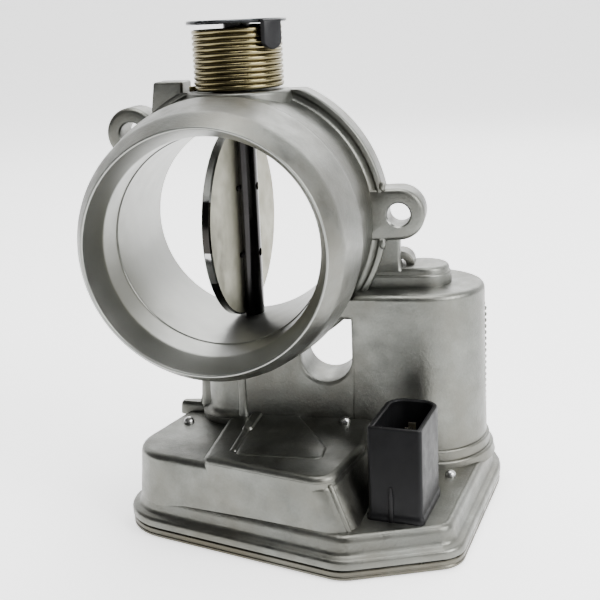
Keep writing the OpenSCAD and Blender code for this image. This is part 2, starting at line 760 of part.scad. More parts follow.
module pinion_gear() color([0.75, 0.72, 0.6]) at_shaft() translate(motor_xy) difference() {
    gear(pinion_teeth, fast_module, 1, idler_to_motor_a + 180 + 180 / pinion_teeth, pinion_z);
    ring(motor_shaft_r, 0, pinion_z[0] - 1, pinion_z[1] + 1);
}

throttle_housing();
gear_cover();
cover_gasket();
cover_screws();
sealing_balls();
upper_bearing();
lower_bearing();
upper_shaft_seal();
lower_shaft_seal();
return_spring();
open_stop_pin();
closed_stop_pin();
idler_axle();
motor_can();
motor_magnets();
motor_end_cap();
motor_brushes();
motor_bushes();
motor_wave_washer();
motor_mount_plate();
motor_screws();
motor_leads();
connector_socket();
connector_pins();
connector_gasket();
circuit_board();
board_components();
position_sensor();
throttle_shaft();
throttle_plate();
plate_screws();
plate_pins();
spring_cap();
sector_gear();
sensor_magnet();
idler_gear();
motor_shaft();
armature();
commutator();
pinion_gear();
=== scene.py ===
"""Looks of an electronic throttle body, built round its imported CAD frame.

Lengths in the classes are millimetres about the throttle shaft's axis; Placer turns them
into metres in the frame, whose origin is on the bore's axis in the flange's rear face.
"""

import logging
import math
from dataclasses import dataclass, field
from enum import Enum
from typing import Callable, Sequence, Union

import bpy
import numpy as np
from mathutils import Matrix, Vector


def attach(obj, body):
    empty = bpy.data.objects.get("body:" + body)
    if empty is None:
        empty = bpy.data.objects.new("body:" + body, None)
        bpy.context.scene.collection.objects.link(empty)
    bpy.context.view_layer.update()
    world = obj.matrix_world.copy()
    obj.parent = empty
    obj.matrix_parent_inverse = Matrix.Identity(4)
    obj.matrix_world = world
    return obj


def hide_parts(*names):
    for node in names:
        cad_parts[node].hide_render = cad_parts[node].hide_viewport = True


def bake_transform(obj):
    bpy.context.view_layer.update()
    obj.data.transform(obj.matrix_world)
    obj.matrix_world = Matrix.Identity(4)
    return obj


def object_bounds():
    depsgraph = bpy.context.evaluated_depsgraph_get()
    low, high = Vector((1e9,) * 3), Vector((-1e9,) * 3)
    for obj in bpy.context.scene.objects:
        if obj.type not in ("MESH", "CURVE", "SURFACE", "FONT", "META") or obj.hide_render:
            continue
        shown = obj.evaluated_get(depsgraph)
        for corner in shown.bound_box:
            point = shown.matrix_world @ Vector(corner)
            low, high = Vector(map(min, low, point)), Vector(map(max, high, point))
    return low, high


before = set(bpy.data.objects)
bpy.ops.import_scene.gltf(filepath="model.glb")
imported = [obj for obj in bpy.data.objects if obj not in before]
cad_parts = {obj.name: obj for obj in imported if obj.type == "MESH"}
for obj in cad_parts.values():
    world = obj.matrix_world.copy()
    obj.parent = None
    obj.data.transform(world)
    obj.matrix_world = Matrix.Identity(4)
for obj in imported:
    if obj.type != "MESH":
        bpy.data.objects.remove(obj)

CAD_BOX = [list(corner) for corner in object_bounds()]
SETBACK = 10.0  # from the shaft's axis back to the flange's rear face
IN_WALL = 34.0  # a radius inside the bore's wall, where the skins that join it end unseen
TURN = 2 * math.pi

log = logging.getLogger("throttle_body")
Array = np.ndarray
Skin = tuple[Array, Array]
Feed = Union[bpy.types.NodeSocket, float, tuple]


class Body(Enum):
    """The CAD bodies that new pieces ride on."""

    HOUSING = "housing"
    THROTTLE = "throttle"


# ---------------------------------------------------------------- finishes


@dataclass(frozen=True)
class Finish:
    """A procedural finish: a base colour mottled by noise, with grain in its bump and roughness.

    mottle is the share by which the colour wanders, grain the size of the grain in millimetres,
    depth the height of the bump in millimetres, stain a second colour in broad patches. lines is
    the axis across which fine machining lines run, if any, and line_pitch sets how fine they are.
    """

    name: str
    color: tuple[float, float, float]
    metallic: float = 1.0
    roughness: float = 0.4
    rough_spread: float = 0.12
    mottle: float = 0.12
    patch: float = 14.0
    grain: float = 0.5
    depth: float = 0.03
    stain: tuple[float, float, float] | None = None
    stain_share: float = 0.35
    lines: str = ""
    line_pitch: float = 0.35
    coat: float = 0.0
    specular: float = 0.5

    def build(self) -> bpy.types.Material:
        """Makes the node tree.

        Returns:
            The material, whose patterns read Object coordinates in metres.
        """
        material = bpy.data.materials.new(self.name)
        material.use_nodes = True
        tree = material.node_tree
        nodes, links = tree.nodes, tree.links
        shader = nodes["Principled BSDF"]
        shader.inputs["Metallic"].default_value = self.metallic
        shader.inputs["Coat Weight"].default_value = self.coat
        shader.inputs["Specular IOR Level"].default_value = self.specular
        place = nodes.new("ShaderNodeTexCoord").outputs["Object"]

        def noise(size_mm: float, detail: float, rough: float = 0.55) -> bpy.types.NodeSocket:
            """Adds a noise.

            Args:
                size_mm: about how wide its features are.
                detail: how many finer layers it has.
                rough: how strong the finer layers are.

            Returns:
                The socket that gives its value.
            """
            node = nodes.new("ShaderNodeTexNoise")
            node.inputs["Scale"].default_value = 1000 / size_mm
            node.inputs["Detail"].default_value = detail
            node.inputs["Roughness"].default_value = rough
            links.new(place, node.inputs["Vector"])
            return node.outputs["Fac"]

        def spread(value: bpy.types.NodeSocket, low: float, high: float) -> bpy.types.NodeSocket:
            """Stretches a noise's middle range.

            Args:
                value: the noise's socket.
                low: what the lower end of that range becomes.
                high: what its upper end becomes.

            Returns:
                The socket that gives the stretched value.
            """
            node = nodes.new("ShaderNodeMapRange")
            node.inputs["From Min"].default_value = 0.3
            node.inputs["From Max"].default_value = 0.7
            node.inputs["To Min"].default_value = low
            node.inputs["To Max"].default_value = high
            links.new(value, node.inputs["Value"])
            return node.outputs["Result"]

        def mix(kind: str, share: Feed, one: Feed, two: Feed) -> bpy.types.NodeSocket:
            """Mixes two colours; the last three arguments are sockets or constants.

            Args:
                kind: the blend type.
                share: how much of the second colour is taken.
                one: the first colour.
                two: the second colour.

            Returns:
                The socket that gives the mixed colour.
            """
            node = nodes.new("ShaderNodeMix")
            node.data_type = "RGBA"
            node.blend_type = kind
            for socket, value in ((node.inputs[0], share), (node.inputs[6], one), (node.inputs[7], two)):
                if isinstance(value, bpy.types.NodeSocket):
                    links.new(value, socket)
                else:
                    socket.default_value = value
            return node.outputs[2]

        broad = noise(self.patch, 3)
        fine = noise(self.grain, 4, 0.6)
        dark = tuple(c * (1 - self.mottle) for c in self.color) + (1,)
        light = tuple(min(1, c * (1 + self.mottle)) for c in self.color) + (1,)
        color = mix("MIX", spread(broad, 0, 1), dark, light)
        speckle = mix("MIX", spread(fine, 0, 1), (0.55,) * 3 + (1,), (1,) * 4)
        color = mix("MULTIPLY", self.mottle * 1.6, color, speckle)
        if self.stain:
            where = spread(noise(self.patch * 1.7, 4, 0.65), -0.4, self.stain_share * 2)
            clamp = nodes.new("ShaderNodeClamp")
            links.new(where, clamp.inputs["Value"])
            color = mix("MIX", clamp.outputs["Result"], color, self.stain + (1,))
        links.new(color, shader.inputs["Base Color"])
        low, high = self.roughness - self.rough_spread, self.roughness + self.rough_spread
        links.new(spread(noise(self.patch * 0.4, 5), low, high), shader.inputs["Roughness"])

        height = fine
        if self.lines:
            wave = nodes.new("ShaderNodeTexWave")
            wave.wave_type = "BANDS"
            wave.bands_direction = self.lines
            wave.inputs["Scale"].default_value = 1000 / self.line_pitch / 6.3
            wave.inputs["Distortion"].default_value = 1.2
            wave.inputs["Detail"].default_value = 2
            links.new(place, wave.inputs["Vector"])
            height = mix("MIX", 0.6, fine, wave.outputs["Fac"])
        bump = nodes.new("ShaderNodeBump")
        bump.inputs["Strength"].default_value = 0.6
        bump.inputs["Distance"].default_value = self.depth / 1000
        links.new(height, bump.inputs["Height"])
        links.new(bump.outputs["Normal"], shader.inputs["Normal"])
        return material


CAST = Finish("cast_aluminium", (0.158, 0.162, 0.148), roughness=0.40, rough_spread=0.09,
              mottle=0.18, grain=0.8, depth=0.13, stain=(0.125, 0.122, 0.105), stain_share=0.5)
BORE = Finish("machined_bore", (0.25, 0.254, 0.238), roughness=0.34, rough_spread=0.03,
              mottle=0.04, grain=0.5, depth=0.012, lines="Y", line_pitch=0.3)
MACHINED = Finish("machined_face", (0.19, 0.194, 0.18), roughness=0.32, mottle=0.06, grain=0.4, depth=0.015)
COVER = Finish("cover_sheet", (0.115, 0.112, 0.095), roughness=0.36, mottle=0.16, grain=0.8, depth=0.03,
               stain=(0.085, 0.078, 0.06), stain_share=0.6)
PLATE = Finish("plate_face", (0.225, 0.218, 0.165), roughness=0.40, mottle=0.07, grain=0.4, depth=0.012,
               stain=(0.19, 0.18, 0.13))
RIM = Finish("plate_rim", (0.42, 0.42, 0.42), roughness=0.08, rough_spread=0.03, mottle=0.05,
             grain=0.5, depth=0.004)
# Near-black rim finish: painted reflection, dark bands that stand in for the polished rim's reflections.
RIM_PAINTED_REFLECTION = Finish("plate_rim_painted_reflection", (0.03, 0.028, 0.026), roughness=0.15, rough_spread=0.04,
                  mottle=0.1, grain=0.5, depth=0.004)
SHAFT = Finish("dark_shaft", (0.028, 0.027, 0.027), roughness=0.16, rough_spread=0.05, mottle=0.1,
               grain=0.4, depth=0.006)
SPRING = Finish("spring_wire", (0.175, 0.15, 0.08), roughness=0.24, rough_spread=0.03, mottle=0.06, patch=12,
                grain=0.8, depth=0.001, stain=(0.12, 0.10, 0.05), stain_share=0.3)
CAP = Finish("cap_steel", (0.045, 0.047, 0.05), roughness=0.26, mottle=0.15, grain=0.4, depth=0.008)
TAB = Finish("black_tab", (0.006, 0.006, 0.007), metallic=0.0, roughness=0.40, mottle=0.2,
             grain=0.3, depth=0.01, specular=0.2)
PLASTIC = Finish("black_plastic", (0.006, 0.006, 0.0065), metallic=0.0, roughness=0.38, rough_spread=0.08,
                 mottle=0.2, patch=9, grain=0.25, depth=0.02, specular=0.14)
NYLON = Finish("gear_nylon", (0.72, 0.69, 0.58), metallic=0.0, roughness=0.5, mottle=0.06,
               grain=0.4, depth=0.015)
RUBBER = Finish("seal_rubber", (0.02, 0.02, 0.02), metallic=0.0, roughness=0.7, mottle=0.2,
                grain=0.3, depth=0.02)
STEEL = Finish("plated_steel", (0.52, 0.52, 0.51), roughness=0.3, mottle=0.1, grain=0.3, depth=0.01)
BRONZE = Finish("bronze", (0.56, 0.40, 0.20), roughness=0.38, mottle=0.12, grain=0.3, depth=0.015)
COPPER = Finish("copper", (0.62, 0.32, 0.18), roughness=0.35, mottle=0.12, grain=0.3,
                depth=0.02, lines="Z")
MAGNET = Finish("sintered_magnet", (0.10, 0.10, 0.11), metallic=0.4, roughness=0.55,
                mottle=0.15, grain=0.3)
BOARD = Finish("solder_mask", (0.02, 0.13, 0.06), metallic=0.0, roughness=0.3, mottle=0.12,
               grain=0.5, coat=0.3)
TIN = Finish("tin_plate", (0.66, 0.62, 0.50), roughness=0.28, mottle=0.08, grain=0.3, depth=0.008)

_built: dict[str, bpy.types.Material] = {}


def dressed(finish: Finish) -> bpy.types.Material:
    """The finish's material, built once."""
    if finish.name not in _built:
        _built[finish.name] = finish.build()
    return _built[finish.name]


# ---------------------------------------------------------------- surfaces


def wrapped(circles: Sequence[Sequence[float]], grow: float, steps: int = 10, edge: int = 14) -> Array:
    """Outline round a row of circles (x, y, radius), grown outwards by grow.

    Each circle gives an arc from one common tangent to the next; each straight run between two
    arcs is divided into edge parts, so that outlines of the same circles have matching points.

    Args:
        circles: circles in anticlockwise order.
        grow: offset of the whole outline.
        steps: parts of each arc.
        edge: parts of each straight run.

    Returns:
        Points, one row each, anticlockwise.
    """
    c = np.asarray(circles, float)
    gap = np.roll(c, -1, 0) - c
    length = np.hypot(gap[:, 0], gap[:, 1])
    after = np.arctan2(gap[:, 1], gap[:, 0]) - np.arccos(np.clip(-gap[:, 2] / length, -1, 1))
    before = np.roll(after, 1)
    turn = np.mod(after - before, TURN)
    angle = before[:, None] + turn[:, None] * np.linspace(0, 1, steps + 1)
    arcs = c[:, None, :2] + (c[:, 2] + grow)[:, None, None] * np.stack([np.cos(angle), np.sin(angle)], -1)
    start, end = arcs[:, -1], np.roll(arcs[:, 0], -1, 0)
    share = np.linspace(0, 1, edge + 1)[1:-1]
    runs = start[:, None] + (end - start)[:, None] * share[None, :, None]
    return np.concatenate([arcs, runs], 1).reshape(-1, 2)


def fillet(top: float, radius: float, parts: int = 6) -> list[tuple[float, float]]:
    """A wall's rounded upper edge: a quarter circle that starts upright and ends level.

    Args:
        top: height at which it ends.
        radius: the quarter circle's radius.
        parts: parts of the curve.

    Returns:
        (grow, z) pairs, from the wall up.
    """
    angle = np.linspace(0, math.pi / 2, parts + 1)
    return [(-radius * (1 - math.cos(a)), top - radius * (1 - math.sin(a))) for a in angle]


def at_height(outline: Array, z: float) -> Array:
    """The flat outline's points, lifted to height z."""
    return np.column_stack([outline, np.full(len(outline), z)])


def spun(points: Array, angle: float) -> Array:
    """The points turned by angle about the Z axis."""
    c, s = math.cos(angle), math.sin(angle)
    x, y = points[..., 0], points[..., 1]
    return np.stack([c * x - s * y, s * x + c * y, points[..., 2]], -1)


def about_y(x: float, z: float, r: Array, angle: Array, y: Array) -> Array:
    """Points on circles about a line along Y: x + r cos angle, y, z + r sin angle.

    Args:
        x: where the line lies.
        z: where the line lies.
        r: radii, one row for each angle and one column for each y.
        angle: one column of angles.
        y: distances along the line.

    Returns:
        A grid of points, (angles, distances, 3).
    """
    return np.stack([x + r * np.cos(angle), np.broadcast_to(y[None], r.shape), z + r * np.sin(angle)], -1)


def stacked(rings: Sequence[Array]) -> Skin:
    """A closed skin over a stack of matching rings, whose two ends are closed by fans.

    Args:
        rings: arrays of points, each (n, 3), in the order in which the skin meets them.

    Returns:
        Vertices and triangles or quads as an index array with -1 for a missing fourth corner.
    """
    n, m = len(rings[0]), len(rings)
    points = np.concatenate([*rings, rings[0].mean(0)[None], rings[-1].mean(0)[None]])
    k = np.arange(n)
    k2 = (k + 1) % n
    base = (np.arange(m - 1) * n)[:, None]
    quads = np.stack([base + k, base + k2, base + n + k2, base + n + k], -1).reshape(-1, 4)
    none = np.full(n, -1)
    first = np.stack([np.full(n, n * m), k2, k, none], -1)
    last = np.stack([np.full(n, n * m + 1), n * (m - 1) + k, n * (m - 1) + k2, none], -1)
    return points, np.concatenate([quads, first, last])


def looped(grid: Array) -> Skin:
    """A closed skin over a grid that is periodic both ways, such as a ring.

    Args:
        grid: points, (turns, profile, 3).

    Returns:
        Vertices and quads.
    """
    u, v = grid.shape[:2]
    i, j = np.meshgrid(np.arange(u), np.arange(v), indexing="ij")
    i2, j2 = (i + 1) % u, (j + 1) % v
    quads = np.stack([i * v + j, i2 * v + j, i2 * v + j2, i * v + j2], -1).reshape(-1, 4)
    return grid.reshape(-1, 3), quads


def slab(circles: Sequence[Sequence[float]], levels: Sequence[tuple[float, float]],
         upper: Sequence[Sequence[float]] | None = None, steps: int = 10) -> Skin:
    """A closed prism whose outline may change with height.

    Args:
        circles: the outline's circles, as wrapped takes them.
        levels: (grow, z) pairs, from the bottom up.
        upper: circles at the highest level, to which the lowest ones slide evenly.
        steps: parts of each arc.

    Returns:
        Vertices and faces.
    """
    low = np.asarray(circles, float)
    high = low if upper is None else np.asarray(upper, float)
    z = np.array([level[1] for level in levels])
    share = (z - z.min()) / max(1e-9, z.max() - z.min())
    rings = []
    for (grow, height), s in zip(levels, share):
        rings.append(at_height(wrapped(low + (high - low) * s, grow, steps), height))
    return stacked(rings)


def smooth_loop(profile: Sequence[Sequence[float]], radii: Sequence[float], parts: int = 5) -> Array:
    """Rounds the corners of a closed profile: each corner becomes a quadratic curve.

    Args:
        profile: corner points in order.
        radii: how far each corner's curve reaches along its two sides.
        parts: parts of each curve.

    Returns:
        The rounded closed profile.
    """
    p = np.asarray(profile, float)
    before, after = np.roll(p, 1, 0) - p, np.roll(p, -1, 0) - p
    lb, la = np.linalg.norm(before, axis=1), np.linalg.norm(after, axis=1)
    reach = np.minimum(np.asarray(radii, float), 0.48 * np.minimum(lb, la))[:, None]
    a, b = p + before / lb[:, None] * reach, p + after / la[:, None] * reach
    t = np.linspace(0, 1, parts + 1)[None, :, None]
    curve = (1 - t) ** 2 * a[:, None] + 2 * t * (1 - t) * p[:, None] + t ** 2 * b[:, None]
    return curve.reshape(-1, p.shape[1])


class Placer:
    """Turns surfaces in millimetres about the shaft into Blender pieces in metres."""

    @staticmethod
    def piece(name: str, skins: Sequence[Skin], finishes: Sequence[Finish], body: Body | None, slot: str,
              replaces: Sequence[str] = (), pick: Callable[[Array], Array] | None = None,
              crease: float = 32.0) -> bpy.types.Object:
        """Joins closed skins into one piece.

        Args:
            name: the piece's name.
            skins: (vertices, faces) pairs in millimetres.
            finishes: its finishes; the first is used where pick gives 0.
            body: the CAD body that it rides on, or None for a piece that is attached to none.
            slot: the record's material slot; not used.
            replaces: CAD nodes that it stands for.
            pick: gives each face's finish number from its centre in millimetres.
            crease: angle in degrees above which an edge stays sharp.

        Returns:
            The new object.
        """
        shift, points, faces = 0, [], []
        for vertices, index in skins:
            points.append(vertices)
            faces.append(np.where(index >= 0, index + shift, -1))
            shift += len(vertices)
        xyz = np.concatenate(points)
        index = np.concatenate(faces)
        mesh = bpy.data.meshes.new(name)
        place = (xyz - [0, SETBACK, 0]) / 1000
        mesh.from_pydata(place, [], [[int(i) for i in f if i >= 0] for f in index])
        mesh.update()
        mesh.polygons.foreach_set("use_smooth", np.ones(len(mesh.polygons), bool))
        mesh.set_sharp_from_angle(angle=math.radians(crease))
        for finish in finishes:
            mesh.materials.append(dressed(finish))
        if pick is not None:
            centre = np.empty(len(mesh.polygons) * 3)
            mesh.polygons.foreach_get("center", centre)
            number = pick(centre.reshape(-1, 3) * 1000 + [0, SETBACK, 0]).astype(np.int32)
            mesh.polygons.foreach_set("material_index", number)
        obj = bpy.data.objects.new(name, mesh)
        bpy.context.scene.collection.objects.link(obj)
        if replaces:
            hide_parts(*replaces)
        if body is not None:
            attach(obj, body.value)
        log.info("%s: %d faces", name, len(index))
        return obj


# ---------------------------------------------------------------- sub-assemblies


@dataclass
class AirBore:
    """The snout, its collar, the bore and the flange with its ears, turned about the Y axis."""

    bore: float = 30.0
    neck: float = 38.6
    flange: float = 43.4
    flat_top: float = 39.0
    rear: float = 10.0
    turns: int = 240
    ears: list[tuple[float, float]] = field(default_factory=lambda: [(47, 1), (-35, 27), (-35, -27)])
    ear_r: float = 7.9
    hole_r: float = 3.5
    arm: float = 13.0
    hub_steps: tuple[tuple[float, float, float], ...] = ((16.0, 39.3, 1.0), (8.6, 50.0, 0.6))
    eye: tuple[float, float] = (46.5, -16.6)

    def profile(self) -> tuple[Array, Array]:
        """The wall's section.

        Returns:
            Corner points (radius, y) in order round it, and how far each one is rounded.
        """
        corners = [
            (self.bore, -33.0, 0.2), (self.bore + 0.3, -33.3, 0.2), (self.bore + 0.35, -44.0, 0.8),
            (33.1, -52.4, 0.35), (33.7, -52.5, 0.35), (37.1, -46.2, 1.1), (39.75, -30.6, 0.8),
            (39.8, -29.6, 0.25), (39.15, -29.3, 0.2), (39.75, -28.9, 0.25), (39.6, -28.3, 0.4),
            (self.neck, -27.6, 1.2), (self.neck - 0.2, -5.2, 2.6), (39.2, -1.1, 1.6), (40.0, -0.5, 0.6),
            (41.2, -0.6, 0.5), (41.6, -1.2, 0.4), (self.flange, -1.0, 0.9),
            (self.flange, self.rear, 0.5), (31.7, self.rear, 0.3), (31.7, 7.0, 0.2), (self.bore, 7.0, 0.3),
        ]
        table = np.array(corners)
        return table[:, :2], table[:, 2]

    def wall(self) -> Skin:
        """The wall: its rounded section carried round the Y axis, cut flat above the hub.

        A point at angle t from the top and radius r lies at x = r sin t, z = r cos t, and where the
        flange would rise above flat_top its radius shrinks to flat_top / cos t.

        Returns:
            Vertices and faces.
        """
        section = smooth_loop(*self.profile())
        t = np.linspace(0, TURN, self.turns, endpoint=False)[:, None]
        limit = self.flat_top / np.maximum(np.cos(t), 1e-3)
        cut = (np.cos(t) > 0.5) & (section[None, :, 1] > -3)
        r = np.where(cut, np.minimum(section[None, :, 0], np.maximum(limit, 36)), section[None, :, 0])
        grid = np.stack([r * np.sin(t), np.broadcast_to(section[None, :, 1], r.shape), r * np.cos(t)], -1)
        return looped(grid)

    def ear(self, x: float, z: float, front: float) -> Skin:
        """A screw ear: a ring round its hole whose outside runs inwards as an arm.

        The outside's radius at angle t from the arm's direction is the smaller of the arm's reach
        over cos t and the ear's radius over sin t, and the ear's radius on the far side.

        Args:
            x: where the hole's axis lies.
            z: where the hole's axis lies.
            front: y of the ear's front face.

        Returns:
            Vertices and faces.
        """
        t = np.linspace(0, TURN, 120, endpoint=False)
        inward = math.atan2(-z, -x)
        c, s = np.cos(t), np.abs(np.sin(t))
        back = self.rear - 0.06
        reach = np.minimum(self.arm / np.maximum(c, 1e-3), self.ear_r / np.maximum(s, 1e-3))
        outer = np.where(c > 0, reach, self.ear_r)
        share = np.array([  # share of the way from hole to outside, y, offset
            (0, front + 0.5, 0), (0, front, 0.45), (1, front, -1.5), (1, front + 0.2, -0.8),
            (1, front + 0.7, -0.25), (1, front + 1.5, 0), (1, back - 0.5, 0), (1, back, -0.4),
            (0, back, 0.35), (0, back - 0.35, 0),
        ])
        r = self.hole_r + (outer[:, None] - self.hole_r) * share[None, :, 0] + share[None, :, 2]
        grid = about_y(x, z, r, (t + inward)[:, None], share[:, 1])
        return looped(grid[:, ::-1])

    def hub(self) -> list[Skin]:
        """The round hub under the spring and the boss in its coil, each foot inside the wall.

        A foot's point at x lies at z = sqrt(IN_WALL^2 - x^2).

        Returns:
            (vertices, faces) of each step.
        """
        t = np.linspace(0, TURN, 96, endpoint=False)
        skins = []
        for radius, top, edge in self.hub_steps:
            x, y = radius * np.cos(t), radius * np.sin(t)
            y = np.minimum(y, self.rear - 0.05)
            rings = [np.column_stack([x, y, np.sqrt(IN_WALL ** 2 - x ** 2)])]
            for grow, z in fillet(top, edge):
                k = (radius + grow) / radius
                rings.append(np.column_stack([x * k, y * k, np.full_like(x, z)]))
            skins.append(stacked(rings))
        return skins

    def lug(self) -> Skin:
        """The block on the upper left of the flange; its left side leans in above z = 36.

        Returns:
            Vertices and faces.
        """
        rings = []
        for grow, z in [(0, 26.0), (0, 34.0), *fillet(42.3, 0.7, 4)]:
            lean = max(0.0, (z - 36.0) / 6.3)
            left = -27.0 + 1.2 * lean
            corners = [(left, 0.2, 1), (-18.6, 0.2, 1), (-18.6, 8.6, 1), (left, 8.6, 1)]
            rings.append(at_height(wrapped(corners, grow, 5, 4), z))
        return stacked(rings)

    def bumps(self) -> list[Skin]:
        """Low cast pads on the flange above and below the right ear, mostly sunk in it."""
        spots = [(42.2, -0.8, 9.6, 1.0, 0.7, 1.4), (41.9, -0.8, -8.0, 1.0, 0.7, 1.6)]
        return [blob(np.array(s[:3]), np.array(s[3:])) for s in spots]

    def shoulder(self) -> Skin:
        """The flat shoulder that runs down from the right ear to the motor housing's top."""
        circles = [(38.0, 4.6, 1.0), (45.8, 4.6, 1.0), (45.8, 7.9, 1.0), (38.0, 7.9, 1.0)]
        return slab(circles, [(0.9, -17.4), (0.4, -16.2), (0, -14.0), (0, -4.0)])

    def build(self) -> None:
        """Makes the air bore's piece and dresses it by place."""
        skins = [self.wall(), *(self.ear(x, z, -1.2) for x, z in self.ears), *self.hub(), self.lug(),
                 *self.bumps(), self.shoulder(), self.small_lug()]

        def pick(c: Array) -> Array:
            """Chooses each face's finish by its radius and its place along the bore.

            Args:
                c: the faces' centres.

            Returns:
                0 for cast, 1 for bore, 2 for machined.
            """
            r = np.hypot(c[:, 0], c[:, 2])
            number = np.zeros(len(c))
            number[(r < 33.8) & (c[:, 1] < 9.8)] = 1
            number[np.abs(c[:, 1] - self.rear) < 0.3] = 2
            near_ear = np.min([np.hypot(c[:, 0] - x, c[:, 2] - z) for x, z in self.ears], 0)
            number[(near_ear < 4.2) & (c[:, 1] < -0.4)] = 2
            return number

        Placer.piece("bore_casting", skins, [CAST, BORE, MACHINED], Body.HOUSING, "cast_aluminium",
                     ("throttle_housing",), pick)

    def small_lug(self) -> Skin:
        """The little eye behind the motor, with its through hole along Y.

        Returns:
            Vertices and faces.
        """
        t = np.linspace(0, TURN, 64, endpoint=False)[:, None]
        share = np.array([(1.8, 9.0), (1.8, 8.6), (2.2, 8.4), (3.8, 8.4), (4.2, 8.9), (4.2, 16.6),
                          (3.9, 17.0), (2.1, 17.0), (1.8, 16.6)])
        r = np.broadcast_to(share[None, :, 0], (len(t), len(share)))
        return looped(about_y(*self.eye, r, t, share[:, 1])[:, ::-1])


def blob(centre: Array, half: Array, u: int = 20, v: int = 12) -> Skin:
    """A closed ellipsoid: a sphere's latitude and longitude grid, scaled by half.

    Args:
        centre: its centre.
        half: its half lengths along x, y and z.
        u: parts round it.
        v: rings between its poles.

    Returns:
        Vertices and faces.
    """
    b = np.linspace(-math.pi / 2, math.pi / 2, v + 2)[1:-1]
    a = np.linspace(0, TURN, u, endpoint=False)
    rings = [centre + half * np.column_stack([np.cos(a) * math.cos(e), np.sin(a) * math.cos(e),
                                              np.full(u, math.sin(e))]) for e in b]
    return stacked(rings)


